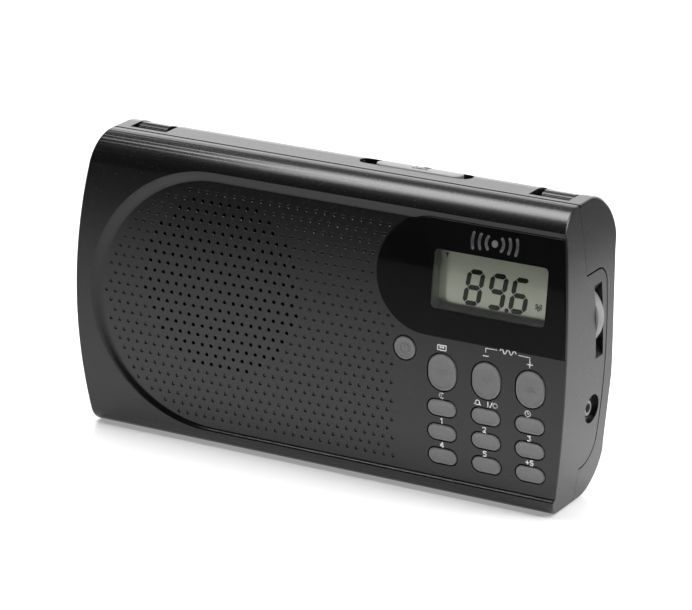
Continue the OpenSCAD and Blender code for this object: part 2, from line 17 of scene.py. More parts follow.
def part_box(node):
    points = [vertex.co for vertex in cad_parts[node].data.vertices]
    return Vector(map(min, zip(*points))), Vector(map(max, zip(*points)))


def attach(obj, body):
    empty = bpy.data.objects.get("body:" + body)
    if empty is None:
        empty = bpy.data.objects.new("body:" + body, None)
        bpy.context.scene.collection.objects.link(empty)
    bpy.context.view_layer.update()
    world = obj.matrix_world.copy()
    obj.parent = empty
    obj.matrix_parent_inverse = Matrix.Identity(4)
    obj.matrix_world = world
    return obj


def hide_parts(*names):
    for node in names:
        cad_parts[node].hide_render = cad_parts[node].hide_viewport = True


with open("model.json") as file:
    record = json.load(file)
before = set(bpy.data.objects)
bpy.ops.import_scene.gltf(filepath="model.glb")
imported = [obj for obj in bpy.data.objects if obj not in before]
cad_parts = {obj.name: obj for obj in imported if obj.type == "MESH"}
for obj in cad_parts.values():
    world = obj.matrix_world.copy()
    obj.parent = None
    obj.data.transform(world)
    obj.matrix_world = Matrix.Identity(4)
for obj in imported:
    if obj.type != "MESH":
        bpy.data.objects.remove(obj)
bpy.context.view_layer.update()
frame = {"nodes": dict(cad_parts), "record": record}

# ---------------------------------------------------------------- driving dimensions, mm
SHELL_LOW, SHELL_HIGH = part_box("front_shell")
X0 = (SHELL_LOW.x + SHELL_HIGH.x) * 500          # middle of the case in the row frame
HALF_W = (SHELL_HIGH.x - SHELL_LOW.x) * 500
CASE_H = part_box("rear_shell")[1].z * 1000
FACE_Y = SHELL_LOW.y * 1000
FACE_R, FACE_Z = 305.0, 40.0                     # curve of the face, and the height of its foremost line
END_R, END_Z = 300.0, 56.0                       # the same for the barrel ends
WALL = 2.6
SPLIT_Y = -3.2                                   # plane where the two shells meet
RECESS = 1.3                                     # depth of the sunk panel
EDGE, REAR_EDGE = 0.8, 1.8                       # radius of the rounded end edges, front and back
REAR_Y93, REAR_LEAN = 22.7, 0.078                # the back's depth at z = 93, and its slope
TOP_FRONT_R, BASE_FRONT_R, REAR_R = 13.0, 6.0, 16.0
ON_SURFACE = 0.08                                # how near a point must be to count as on the surface

# Outlines like a D on its side: x and z of the half circle's centre, and its radius
PANEL = (-45.5, 54.7, 48.8)
PANEL_FLOOR = (-43.2, 53.6, 46.6)
LENS = (45.8, 80.8, 20.8)
LENS_DEPTH = 0.35
WINDOW = (69.85, 80.65, 44.7, 20.9, 1.8)         # x, z, width, height, corner radius

LATTICE = (-41.0, 64.3, 3.76, 3.54)              # x and z of one hole, pitch of columns and rows
LATTICE_RIGHT = 33.0
GRILLE = (-39.4, 62.7, 33.0)                     # x, z and radius of the circle of drilled holes
HOLE_R, HOLE_POINTS = 0.75, 12
CLEAR = 1.6                                      # least distance from a hole's centre to an edge

KEY_GAP, KEY_DEPTH, KEY_DISH, KEY_BACK = 0.5, 1.05, 0.08, 4.0
KEY_COLUMNS, KEY_W = (52.7, 70.2, 87.5), 11.2
KEYS = {"key_power": (37.5, 53.4, 8.5, 8.5)}     # x, z, width, height
for name, kx in zip(("key_memory", "key_tune_down", "key_tune_up"), KEY_COLUMNS):
    KEYS[name] = (kx, 47.0, KEY_W, 13.6)
for row, names in ((33.6, "sleep alarm time"), (24.3, "1 2 3"), (15.1, "4 5 plus_5")):
    for name, kx in zip(names.split(), KEY_COLUMNS):
        KEYS["key_" + name] = (kx, row, KEY_W, 5.9)


def put(x, y, z):
    """A point in millimetres, x from the middle of the case, as metres in the row frame."""
    return Vector(((x + X0) / 1000, y / 1000, z / 1000))


# ---------------------------------------------------------------- case surfaces
def face_y(z, depth=0.0):
    """Depth of the face's curve at height z, or of a curve that lies depth behind it."""
    return FACE_Y + FACE_R - math.sqrt((FACE_R - depth) ** 2 - (z - FACE_Z) ** 2)


def on_face(x, z, depth):
    """A point depth behind the face's curve."""
    return put(x, face_y(z, depth), z)


def face_normal(z):
    s = (z - FACE_Z) / FACE_R
    return Vector((0, -math.sqrt(1 - s * s), s))


def end_x(z):
    """Half the case's width at height z."""
    return HALF_W - END_R + math.sqrt(END_R ** 2 - (z - END_Z) ** 2)


def end_normal(z, side):
    s = (z - END_Z) / END_R
    return Vector((side * math.sqrt(1 - s * s), 0, s))


def rear_y(z, inset=0.0):
    """Depth of the sloping back at height z, or of a plane that lies inset inside it."""
    return REAR_Y93 + REAR_LEAN * (z - 93) - inset / math.cos(math.atan(REAR_LEAN))


def ease(t):
    return t * t * (3 - 2 * t)


def edge_at(y):
    """Radius of the rounded end edge: fine at the front, fuller towards the back."""
    return EDGE + (REAR_EDGE - EDGE) * ease(max(0.0, min(1.0, (y - 6) / 12)))


def corner(r, z):
    """Centre (y, z) of an edge of radius r that meets the face's curve."""
    return (FACE_Y + FACE_R - math.sqrt((FACE_R - r) ** 2 - (z - FACE_Z) ** 2), z)


def side_profile(fine=1):
    """The (y, z) outline of the case seen from its end, with the outward normal at each point."""
    top_front = corner(TOP_FRONT_R, CASE_H - TOP_FRONT_R)
    base_front = corner(BASE_FRONT_R, BASE_FRONT_R)
    top_rear = (rear_y(CASE_H - REAR_R, REAR_R), CASE_H - REAR_R)
    base_rear = (rear_y(REAR_R, REAR_R), REAR_R)
    rear = -math.atan(REAR_LEAN)
    a_base = math.pi + math.asin((FACE_Z - base_front[1]) / (FACE_R - BASE_FRONT_R))
    a_top = math.pi - math.asin((top_front[1] - FACE_Z) / (FACE_R - TOP_FRONT_R))
    half = math.pi / 2
    arcs = [(top_rear, REAR_R, half, rear, 18), (base_rear, REAR_R, rear, -half, 18),
            (base_front, BASE_FRONT_R, -half, a_base - 2 * math.pi, 12),
            ((FACE_Y + FACE_R, FACE_Z), FACE_R, a_base, a_top, 40),
            (top_front, TOP_FRONT_R, a_top, half, 20)]
    points, normals = [], []
    for (cy, cz), r, a0, a1, n in arcs:
        n *= fine
        for i in range(n + 1):
            a = a0 + (a1 - a0) * i / n
            p = (cy + r * math.cos(a), cz + r * math.sin(a))
            if not points or math.dist(points[-1], p) > 1e-6:
                points.append(p)
                normals.append((math.cos(a), math.sin(a)))
    return points, normals


def front_y(z):
    """Outer surface of the front at height z, on the face or on either rounded edge."""
    top_z, base_z = CASE_H - TOP_FRONT_R, BASE_FRONT_R
    if z > top_z:
        return corner(TOP_FRONT_R, top_z)[0] - math.sqrt(max(0, TOP_FRONT_R ** 2 - (z - top_z) ** 2))
    if z < base_z:
        return corner(BASE_FRONT_R, base_z)[0] - math.sqrt(BASE_FRONT_R ** 2 - (z - base_z) ** 2)
    return face_y(z)


PROFILE, PROFILE_N = side_profile(30)
PROFILE_TREE = KDTree(len(PROFILE))
for i, p in enumerate(PROFILE):
    PROFILE_TREE.insert((p[0], p[1], 0), i)
PROFILE_TREE.balance()


def case_normal(co, flat):
    """A rule for set_normals: the rounded case's outward normal at a point on it, or None away from it."""
    x, y, z = co.x * 1000 - X0, co.y * 1000, co.z * 1000
    _, i, _ = PROFILE_TREE.find((y, z, 0))
    (py, pz), (ny, nz) = PROFILE[i], PROFILE_N[i]
    edge = edge_at(py)
    a = (y - py) * ny + (z - pz) * nz + edge
    side = 1 if x > 0 else -1
    b = abs(x) - end_x(z) + edge
    n_side = end_normal(z, side)
    if a <= 0 and b <= 0:
        return None
    n = Vector((0, ny, nz)) * max(a, 0) + n_side * max(b, 0)
    if abs(math.hypot(max(a, 0), max(b, 0)) - edge) > ON_SURFACE:
        return None
    return n.normalized()


# ---------------------------------------------------------------- outlines in (x, z)
def arc(cx, cz, r, a0, a1, n):
    angles = [math.radians(a0 + (a1 - a0) * i / n) for i in range(n + 1)]
    return [(cx + r * math.cos(a), cz + r * math.sin(a)) for a in angles]


def circle(cx, cz, r, n=12):
    return arc(cx, cz, r, 0, 360, n)[:-1]


def oval(x, z, w, h, inset=0.0, n=20):
    """A stadium or circle as large as w by h, drawn in by inset."""
    w, h = w - 2 * inset, h - 2 * inset
    r = min(w, h) / 2
    if w > h:
        return arc(x + w / 2 - r, z, r, -90, 90, n) + arc(x - w / 2 + r, z, r, 90, 270, n)
    if h > w:
        return arc(x, z + h / 2 - r, r, 0, 180, n) + arc(x, z - h / 2 + r, r, 180, 360, n)
    return circle(x, z, r, 2 * n)


def round_rect(x, z, w, h, r, n=6):
    out = []
    for sx, sz, a in ((1, 1, 0), (-1, 1, 90), (-1, -1, 180), (1, -1, 270)):
        out += arc(x + sx * (w / 2 - r), z + sz * (h / 2 - r), r, a, a + 90, n)
    return out


def d_outline(spec, inset, right):
    """A D lying on its side: a half circle on the left, straight runs to right inside the barrel end."""
    run_steps, end_steps = 40, 24
    cx, cz, r = spec
    r -= inset
    top, base = cz + r, cz - r
    out = arc(cx, cz, r, 90, 270, 64)
    out += [(cx + (end_x(base) - right - cx) * i / run_steps, base) for i in range(1, run_steps)]
    heights = [base + (top - base) * i / end_steps for i in range(end_steps + 1)]
    out += [(end_x(z) - right, z) for z in heights]
    out += [(cx + (end_x(top) - right - cx) * (1 - i / run_steps), top) for i in range(1, run_steps)]
    return out


def inside(x, z, loop):
    """Whether the point lies inside a closed loop."""
    hit = False
    for (x0, z0), (x1, z1) in zip(loop, loop[1:] + loop[:1]):
        if (z0 > z) != (z1 > z) and x < (x1 - x0) * (z - z0) / (z1 - z0) + x0:
            hit = not hit
    return hit


def distance(x, z, loop):
    """Distance from the point to a closed loop."""
    best = 1e9
    for (x0, z0), (x1, z1) in zip(loop, loop[1:] + loop[:1]):
        dx, dz = x1 - x0, z1 - z0
        t = max(0, min(1, ((x - x0) * dx + (z - z0) * dz) / (dx * dx + dz * dz + 1e-12)))
        best = min(best, math.hypot(x - x0 - t * dx, z - z0 - t * dz))
    return best


# ---------------------------------------------------------------- mesh helpers
def dress(piece, body, slot, *nodes, look=None):
    """Make piece ride on body and stand for nodes, in its slot's material or the one named look."""
    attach(piece, body)
    if nodes:
        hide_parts(*nodes)
    piece.data.materials.clear()
    piece.data.materials.append(MATERIALS[look or slot])


def new_object(name, mesh, body, slot, *nodes, look=None):
    piece = bpy.data.objects.new(name, mesh)
    bpy.context.scene.collection.objects.link(piece)
    dress(piece, body, slot, *nodes, look=look)


def set_normals(mesh, sharp=35, rule=None):
    """Smooth shading with sharp edges by angle, and exact normals wherever rule(co, normal) has one."""
    mesh.polygons.foreach_set("use_smooth", [True] * len(mesh.polygons))
    mesh.set_sharp_from_angle(angle=math.radians(sharp))
    if rule is None:
        return
    normals = [Vector(n.vector) for n in mesh.corner_normals]
    limit = math.cos(math.radians(32))      # a rule's normal further than this from the face is left out
    for poly in mesh.polygons:
        flat = poly.normal
        for li in poly.loop_indices:
            n = rule(mesh.vertices[mesh.loops[li].vertex_index].co, flat)
            if n is not None and n.dot(flat) > limit:
                normals[li] = n
    mesh.normals_split_custom_set([tuple(n) for n in normals])


def sheet_mesh(name, faces):
    """A mesh from a list of faces, each a list of points in metres; points that agree are joined."""
    index, verts, polys = {}, [], []
    for face in faces:
        row = []
        for p in face:
            key = tuple(round(part * 1e7) for part in p)
            if key not in index:
                index[key] = len(verts)
                verts.append(tuple(p))
            if not row or row[-1] != index[key]:
                row.append(index[key])
        if len(set(row)) > 2 and row[0] != row[-1]:
            polys.append(row)
    mesh = bpy.data.meshes.new(name)
    mesh.from_pydata(verts, [], polys)
    mesh.update()
    return mesh


def triangles(outline, holes=(), inner=(), grid=3.0):
    """2D triangles filling outline, without the holes. Returns points and (triangle, set of inner loops)."""
    points, faces = [], []
    for loop in [outline, *holes, *inner]:
        face = list(range(len(points), len(points) + len(loop)))
        area = sum(p[0] * q[1] - q[0] * p[1] for p, q in zip(loop, loop[1:] + loop[:1]))
        faces.append(face if area > 0 else face[::-1])
        points += loop
    xs, zs = [p[0] for p in outline], [p[1] for p in outline]
    loops = [outline, *holes, *inner]
    boxes = [(min(p[0] for p in l) - 1, max(p[0] for p in l) + 1,
              min(p[1] for p in l) - 1, max(p[1] for p in l) + 1) for l in loops]
    z = min(zs) + grid / 2
    while grid and z < max(zs):
        x = min(xs) + grid / 2
        while x < max(xs):
            near = [l for l, b in zip(loops, boxes) if b[0] < x < b[1] and b[2] < z < b[3]]
            if inside(x, z, outline) and all(distance(x, z, l) > grid * 0.3 for l in near):
                if not any(inside(x, z, l) for l in near if l in holes):
                    points.append((x, z))
            x += grid
        z += grid
    out = delaunay_2d_cdt([Vector(p) for p in points], [], faces, 1, 1e-6)
    verts = [points[origin[0]] if origin else tuple(v) for v, origin in zip(out[0], out[3])]
    n_holes = len(holes)
    tris = []
    for tri, origins in zip(out[2], out[5]):
        if 0 in origins and not any(1 <= o <= n_holes for o in origins):
            tris.append((tri, {o - 1 - n_holes for o in origins if o > n_holes}))
    return verts, tris


def band(a, b):
    """Quads between two closed rings of the same number of points."""
    n = len(a)
    return [[a[i], a[(i + 1) % n], b[(i + 1) % n], b[i]] for i in range(n)]


def bands(rows):
    return [quad for a, b in zip(rows, rows[1:]) for quad in band(a, b)]


def filled(outline, at, grid=0, holes=()):
    """Triangles across an outline, each of whose points is placed by at."""
    verts, tris = triangles(outline, holes, grid=grid)
    return [[at(*verts[k]) for k in tri] for tri, _ in tris]


def cap_side(rings, back, at=on_face):
    """The side of a cap. rings is [(outline, depth)], outermost first, and at(x, z, depth) places a point;
    the first ring is drawn straight back to the depth back."""
    chain = [(rings[0][0], back)] + rings
    return bands([[at(*p, depth) for p in outline] for outline, depth in chain])


def cap(rings, back, grid, at=on_face):
    """The side of a cap and its top, which is the last ring filled."""
    outline, depth = rings[-1]
    return cap_side(rings, back, at) + filled(outline, lambda *p: at(*p, depth), grid)


def tile(loop, at, high, low):
    """A thin tile: a loop laid between two depths, placed by at(x, z, depth)."""
    top, base = [[at(*p, depth) for p in loop] for depth in (high, low)]
    return filled(loop, lambda *p: at(*p, high)) + band(top, base)


def laid_on(y_at):
    """A placing function whose depth is counted from the surface y_at(z)."""
    return lambda x, z, depth: put(x, y_at(z) + depth, z)


def outward(mesh):
    """Turn the faces of a closed mesh outwards."""
    bm = bmesh.new()
    bm.from_mesh(mesh)
    bmesh.ops.recalc_face_normals(bm, faces=bm.faces)
    bm.to_mesh(mesh)
    bm.free()
    return mesh


def flip_to(mesh, axis):
    """Turn every face so that its normal has a positive part along axis where it has any."""
    bm = bmesh.new()
    bm.from_mesh(mesh)
    bm.normal_update()
    for f in bm.faces:
        if f.normal.dot(axis) < 0:
            f.normal_flip()
    bm.to_mesh(mesh)
    bm.free()
    return mesh


def boolean(target, cutter_mesh, operation):
    """target's mesh joined with, cut by or limited to cutter_mesh, exactly."""
    cutter = bpy.data.objects.new("cutter", cutter_mesh)
    bpy.context.scene.collection.objects.link(cutter)
    mod = target.modifiers.new("cut", "BOOLEAN")
    mod.object = cutter
    mod.operation = operation
    mod.solver = "EXACT"
    bpy.context.view_layer.update()
    done = bpy.data.meshes.new_from_object(target.evaluated_get(bpy.context.evaluated_depsgraph_get()))
    target.modifiers.clear()
    target.data = done
    bpy.data.objects.remove(cutter)


def cad_copy(name, node):
    """A piece that starts as a welded copy of a CAD node."""
    bm = bmesh.new()
    bm.from_mesh(frame["nodes"][node].data)
    bmesh.ops.remove_doubles(bm, verts=bm.verts, dist=2e-6)
    bmesh.ops.dissolve_degenerate(bm, edges=bm.edges, dist=1e-7)
    mesh = bpy.data.meshes.new(name)
    bm.to_mesh(mesh)
    bm.free()
    for layer in list(mesh.attributes):
        if layer.name in ("custom_normal", "sharp_edge", "sharp_face"):
            mesh.attributes.remove(layer)
    piece = bpy.data.objects.new(name, mesh)
    bpy.context.scene.collection.objects.link(piece)
    return piece


def prism(outline, y_front, y_back):
    """A closed solid from an (x, z) outline, from the plane y_front to the surface y_back(z)."""
    def front(x, z):
        return put(x, y_front, z)

    def back(x, z):
        return put(x, y_back(z), z)

    faces = band([front(*p) for p in outline], [back(*p) for p in outline])
    faces += filled(outline, front, 4.0) + filled(outline, back, 4.0)
    return outward(sheet_mesh("prism", faces))


def rounded_case():
    """The outer form of the case as a closed solid with its end edges rounded off."""
    steps = 6
    points, normals = side_profile()
    edges = [edge_at(y) for y, _ in points]

    def ring_at(a):
        return [(y - ny * e * (1 - math.cos(a)), z - nz * e * (1 - math.cos(a)), e)
                for (y, z), (ny, nz), e in zip(points, normals, edges)]

    rows = []
    for side in (-1, 1):
        for k in range(steps + 1):
            a = math.pi / 2 * (k if side > 0 else steps - k) / steps
            rows.append([put(side * (end_x(z) + e * (math.sin(a) - 1)), y, z) for y, z, e in ring_at(a)])
    faces = bands(rows)
    outline = [(y, z) for y, z, _ in ring_at(math.pi / 2)]
    for side in (-1, 1):
        faces += filled(outline, lambda y, z: put(side * end_x(z), y, z), 5.0)
    return outward(sheet_mesh("rounded_case", faces))


def tab_outline(gap):
    """The (y, z) outline of the part of each end wall that is moulded with the front shell."""
    rear = -math.degrees(math.atan(REAR_LEAN))
    return ([(-12, 13.4 - gap)] + arc(-2.1, 23, 9.6 + gap, -90, rear, 14)
            + arc(6.4, 79.9, 5 + gap, rear, 90, 12) + [(-12, 84.9 + gap)])


def end_prism(outline, x0, x1):
    """A closed solid from a (y, z) outline between two x planes."""
    faces = band(*[[put(x, *p) for p in outline] for x in (x0, x1)])
    for x in (x0, x1):
        faces += filled(outline, lambda y, z: put(x, y, z))
    return outward(sheet_mesh("end_prism", faces))


# ---------------------------------------------------------------- materials
def surface(name, low, high, rough, scale=900.0, grain=0.0, grain_scale=4500.0, metallic=0.0,
            specular=0.5):
    """Principled material: colour and roughness wander between two values, with a fine grain bump."""
    mat = bpy.data.materials.new(name)
    mat.use_nodes = True
    tree = mat.node_tree
    bsdf = tree.nodes["Principled BSDF"]
    coords = tree.nodes.new("ShaderNodeTexCoord")
    noise = tree.nodes.new("ShaderNodeTexNoise")
    noise.inputs["Scale"].default_value = scale
    noise.inputs["Detail"].default_value = 4
    tree.links.new(coords.outputs["Object"], noise.inputs["Vector"])
    ramp = tree.nodes.new("ShaderNodeValToRGB")
    ramp.color_ramp.elements[0].position = 0.35
    ramp.color_ramp.elements[1].position = 0.65
    ramp.color_ramp.elements[0].color = (*low, 1)
    ramp.color_ramp.elements[1].color = (*high, 1)
    tree.links.new(noise.outputs["Fac"], ramp.inputs["Fac"])
    tree.links.new(ramp.outputs["Color"], bsdf.inputs["Base Color"])
    spread = tree.nodes.new("ShaderNodeMapRange")
    spread.inputs["To Min"].default_value = rough[0]
    spread.inputs["To Max"].default_value = rough[1]
    tree.links.new(noise.outputs["Fac"], spread.inputs["Value"])
    tree.links.new(spread.outputs["Result"], bsdf.inputs["Roughness"])
    bsdf.inputs["Metallic"].default_value = metallic
    bsdf.inputs["Specular IOR Level"].default_value = specular
    if grain:
        fine = tree.nodes.new("ShaderNodeTexNoise")
        fine.inputs["Scale"].default_value = grain_scale
        fine.inputs["Detail"].default_value = 2
        tree.links.new(coords.outputs["Object"], fine.inputs["Vector"])
        bump = tree.nodes.new("ShaderNodeBump")
        bump.inputs["Strength"].default_value = grain
        bump.inputs["Distance"].default_value = 0.00002
        tree.links.new(fine.outputs["Fac"], bump.inputs["Height"])
        tree.links.new(bump.outputs["Normal"], bsdf.inputs["Normal"])
    return mat


def grey(value, spread=0.08, tint=(1, 1, 1)):
    """A darker and a lighter tone of one grey, for the low and high colours of surface()."""
    return [tuple(value * t * k for t in tint) for k in (1 - spread, 1 + spread)]


def window_material():
    """Clear acrylic over the display: mostly see-through, with a surface reflection."""
    mat = bpy.data.materials.new("lens_window")
    mat.use_nodes = True
    tree = mat.node_tree
    tree.nodes.remove(tree.nodes["Principled BSDF"])
    out = tree.nodes["Material Output"]
    coords = tree.nodes.new("ShaderNodeTexCoord")
    noise = tree.nodes.new("ShaderNodeTexNoise")
    noise.inputs["Scale"].default_value = 60
    tree.links.new(coords.outputs["Object"], noise.inputs["Vector"])
    ramp = tree.nodes.new("ShaderNodeValToRGB")
    ramp.color_ramp.elements[0].color = (0.93, 0.94, 0.92, 1)
    ramp.color_ramp.elements[1].color = (0.95, 0.96, 0.94, 1)
    tree.links.new(noise.outputs["Fac"], ramp.inputs["Fac"])
    clear = tree.nodes.new("ShaderNodeBsdfTransparent")
    tree.links.new(ramp.outputs["Color"], clear.inputs["Color"])
    gloss = tree.nodes.new("ShaderNodeBsdfGlossy")
    gloss.inputs["Roughness"].default_value = 0.03
    fresnel = tree.nodes.new("ShaderNodeFresnel")
    fresnel.inputs["IOR"].default_value = 1.45
    mix = tree.nodes.new("ShaderNodeMixShader")
    tree.links.new(fresnel.outputs["Fac"], mix.inputs["Fac"])
    tree.links.new(clear.outputs["BSDF"], mix.inputs[1])
    tree.links.new(gloss.outputs["BSDF"], mix.inputs[2])
    tree.links.new(mix.outputs["Shader"], out.inputs["Surface"])
    return mat


MATERIALS = {
    "case_plastic": surface("case_plastic", *grey(0.005, 0.15), (0.24, 0.29), grain=0.3),
    "lens_gloss": surface("lens_gloss", *grey(0.005, 0.2), (0.03, 0.05), scale=40, specular=0.09),
    "bezel_grey": surface("bezel_grey", *grey(0.30, 0.04, (1, 1.02, 0.9)), (0.3, 0.36)),
    "lcd": surface("lcd", *grey(0.8, 0.02, (0.95, 1, 0.84)), (0.16, 0.2), scale=120, metallic=0.3),
    "clear_guide": surface("clear_guide", *grey(0.8, 0.03), (0.1, 0.15)),
    "silicone": surface("silicone", (0.6, 0.2, 0.3), (0.7, 0.26, 0.36), (0.5, 0.6)),
    "felt": surface("felt", *grey(0.03, 0.4), (0.85, 0.95), grain=1.0),
    "steel": surface("steel", *grey(0.5, 0.06), (0.26, 0.34), metallic=1.0),
    "paper": surface("paper", *grey(0.012, 0.4), (0.7, 0.85), grain=0.8, grain_scale=2500),
    "magnet": surface("magnet", *grey(0.08, 0.15), (0.4, 0.5), metallic=0.6),
    "board": surface("board", (0.02, 0.12, 0.05), (0.03, 0.16, 0.07), (0.25, 0.35)),
    "black_parts": surface("black_parts", *grey(0.015, 0.15), (0.38, 0.48), grain=0.2),
    "cap_sleeve": surface("cap_sleeve", (0.02, 0.03, 0.12), (0.03, 0.04, 0.15), (0.25, 0.3)),
    "ferrite": surface("ferrite", *grey(0.04, 0.3), (0.55, 0.7), grain=0.6),
    "copper": surface("copper", (0.5, 0.22, 0.1), (0.6, 0.28, 0.13), (0.28, 0.35), metallic=1.0),
    "ribbon_film": surface("ribbon_film", *grey(0.5, 0.05), (0.35, 0.4)),
    "nickel": surface("nickel", *grey(0.62, 0.04), (0.14, 0.2), metallic=1.0),
    "cell_sleeve": surface("cell_sleeve", (0.02, 0.06, 0.24), (0.03, 0.08, 0.28), (0.25, 0.32)),
    "dark_steel": surface("dark_steel", *grey(0.09, 0.1), (0.3, 0.4), metallic=0.8),
    "foot_rubber": surface("foot_rubber", *grey(0.02, 0.2), (0.75, 0.85), grain=0.8),
    "key_plastic": surface("key_plastic", *grey(0.2, 0.05), (0.36, 0.42), grain=0.2),
    "wheel_plastic": surface("wheel_plastic", *grey(0.3, 0.05), (0.4, 0.48), grain=0.2),
    # painted shade: a near-black, barely reflecting finish laid in the top seam and round the lens, where the
    # gaps fall in shade
    "painted_gap_shade": surface("painted_gap_shade", *grey(0.0015, 0.2), (0.6, 0.7), specular=0.05),
    "print_grey": surface("print_grey", *grey(0.25, 0.03), (0.3, 0.4), metallic=0.4),
    "snooze_plastic": surface("snooze_plastic", *grey(0.16, 0.03), (0.36, 0.42), grain=0.2),
    "print_white": surface("print_white", *grey(0.95, 0.02), (0.5, 0.6)),
    "segment": surface("segment", (0.016, 0.018, 0.012), (0.02, 0.022, 0.015), (0.4, 0.5), specular=0.2),
    "socket_grey": surface("socket_grey", *grey(0.22, 0.05), (0.3, 0.4), metallic=0.5),
}
MATERIALS["lens_window"] = window_material()
NODE_LOOKS = {"socket_ring": "socket_grey"}      # CAD nodes that wear another material than their slot's


def carry_cad_looks():
    """Give each carried-over CAD node the procedural material of its slot."""
    for sub in frame["record"]["subparts"]:
        node = frame["nodes"][sub["node"]]
        mat = MATERIALS[NODE_LOOKS.get(sub["node"], sub["material_slot"])]
        if node.data.materials:
            node.data.materials[0] = mat
        else:
            node.data.materials.append(mat)


# ---------------------------------------------------------------- front shell and sunk panel
BEVEL_STEPS = 4
OUTER = d_outline(PANEL, 0.0, EDGE)
FLOOR = d_outline(PANEL_FLOOR, 0.0, EDGE)


def lattice():
    """Every hole of the grille pattern as (x, z, drilled through)."""
    x0, z0, pitch_x, pitch_z = LATTICE
    grille_x, grille_z, grille_r = GRILLE
    lens_x, lens_z, lens_r = LENS
    key_x, key_z, key_w, _ = KEYS["key_power"]
    for row in range(-20, 20):
        for col in range(-25, 30):
            x, z = x0 + (col + (row % 2) / 2) * pitch_x, z0 + row * pitch_z
            if x > LATTICE_RIGHT or distance(x, z, FLOOR) < CLEAR or not inside(x, z, FLOOR):
                continue
            if math.hypot(x - lens_x, z - lens_z) < lens_r + CLEAR:
                continue
            if math.hypot(x - key_x, z - key_z) < key_w / 2 + 1.35:
                continue
            yield x, z, math.hypot(x - grille_x, z - grille_z) < grille_r


def bowl(x, z, through):
    """A drilled hole's rounded lip and wall, or a blind dimple's bowl. Rings are (share of HOLE_R, depth)."""
    if through:
        rings = [(1, 0.0), (0.9, 0.1), (0.86, 0.3), (0.86, RECESS)]
    else:
        rings = [(1, 0.0), (0.86, 0.08), (0.76, 0.26), (0.6, 0.42), (0.2, 0.48)]
    loops = [[on_face(*p, RECESS + depth) for p in circle(x, z, HOLE_R * share, HOLE_POINTS)]
             for share, depth in rings]
    faces = []
    for a, b in zip(loops, loops[1:]):
        for i in range(HOLE_POINTS):
            j = (i + 1) % HOLE_POINTS
            faces.append([a[i], b[i], b[j], a[j]])
    if not through:
        faces.append(loops[-1])
    return faces


def panel_sheet():
    """The sunk panel: a bevel all round, the grille's holes and dimples, and the openings in it."""
    holes, faces = [], []
    for x, z, through in lattice():
        holes.append(circle(x, z, HOLE_R, HOLE_POINTS))
        faces += bowl(x, z, through)
    wx, wz, ww, wh, _ = WINDOW
    openings = [round_rect(wx, wz, ww + 2, wh + 2, 2.6)]
    openings += [oval(x, z, w, h, -KEY_GAP) for x, z, w, h in KEYS.values()]
    for loop in openings:
        faces += band(*[[on_face(*p, depth) for p in loop] for depth in (RECESS, WALL)])
    faces += filled(FLOOR, lambda x, z: on_face(x, z, RECESS), 3.4, openings + holes)
    return faces + bevel_faces() + edge_faces()


def bevel_point(outer, inner, t):
    """A point t of the way down the bevel from the face's edge to the sunk floor."""
    (xo, zo), (xi, zi) = outer, inner
    s = ease(t)
    return xo + (xi - xo) * t, front_y(zo) * (1 - s) + face_y(zi, RECESS) * s, zo + (zi - zo) * t


def bevel_faces():
    """The bevel's faces, but for the stretch along the barrel end, where it runs out."""
    faces = []
    n = len(OUTER)
    rows = [[bevel_point(a, b, k / BEVEL_STEPS) for a, b in zip(OUTER, FLOOR)]
            for k in range(BEVEL_STEPS + 1)]
    at_end = [end_x(z) - x < EDGE + 0.01 for x, z in OUTER]
    for a, b in zip(rows, rows[1:]):
        for i in range(n):
            j = (i + 1) % n
            if not (at_end[i] and at_end[j]):
                faces.append([put(*p) for p in (a[i], a[j], b[j], b[i])])
    return faces


def edge_faces():
    """The sheet's rounded right edge, and the skirt behind it down to the end wall."""
    edge_steps, rows = 6, 24

    def column(y, z):
        points = []
        for k in range(edge_steps + 1):
            a = math.pi / 2 * k / edge_steps
            points.append(put(end_x(z) - EDGE * (1 - math.sin(a)), y + EDGE * (1 - math.cos(a)), z))
        return points + [put(end_x(z), max(y + EDGE, face_y(z, WALL + 0.1)), z)]

    top, base = PANEL[1] + PANEL[2], PANEL[1] - PANEL[2]
    floor_top, floor_base = PANEL_FLOOR[1] + PANEL_FLOOR[2], PANEL_FLOOR[1] - PANEL_FLOOR[2]
    down = range(BEVEL_STEPS)
    levels = [bevel_point((0, base), (0, floor_base), k / BEVEL_STEPS)[1:] for k in down]
    heights = [floor_base + (floor_top - floor_base) * k / rows for k in range(rows + 1)]
    levels += [(face_y(z, RECESS), z) for z in heights]
    levels += [bevel_point((0, top), (0, floor_top), k / BEVEL_STEPS)[1:] for k in reversed(down)]
    columns = [column(y, z) for y, z in levels]
    return [[a[k], b[k], b[k + 1], a[k + 1]]
            for a, b in zip(columns, columns[1:]) for k in range(edge_steps + 1)]


def near_face(least):
    """A rule for set_normals: the face's exact normal wherever it agrees with the flat one."""
    def rule(co, flat):
        n = face_normal(co.z * 1000)
        return n if n.dot(flat) > least else None

    return rule


FACE_OUT = Vector((0, -1, 0.02))


def front_shell():
    """The CAD shell with rounded end edges, its sunk panel cut out and the finer sheet set in."""
    shell = cad_copy("front_case", "front_shell")
    boolean(shell, rounded_case(), "INTERSECT")
    past_end = -3.0
    cut = prism(d_outline(PANEL, 0.0, past_end), -40.0, lambda z: face_y(z, WALL + 0.03))
    boolean(shell, cut, "DIFFERENCE")
    set_normals(shell.data, 30, case_normal)
    dress(shell, "case", "case_plastic", "front_shell")
    sheet = flip_to(sheet_mesh("sunk_panel", panel_sheet()), FACE_OUT)
    set_normals(sheet, 30, near_face(0.99))
    new_object("sunk_panel", sheet, "case", "case_plastic")


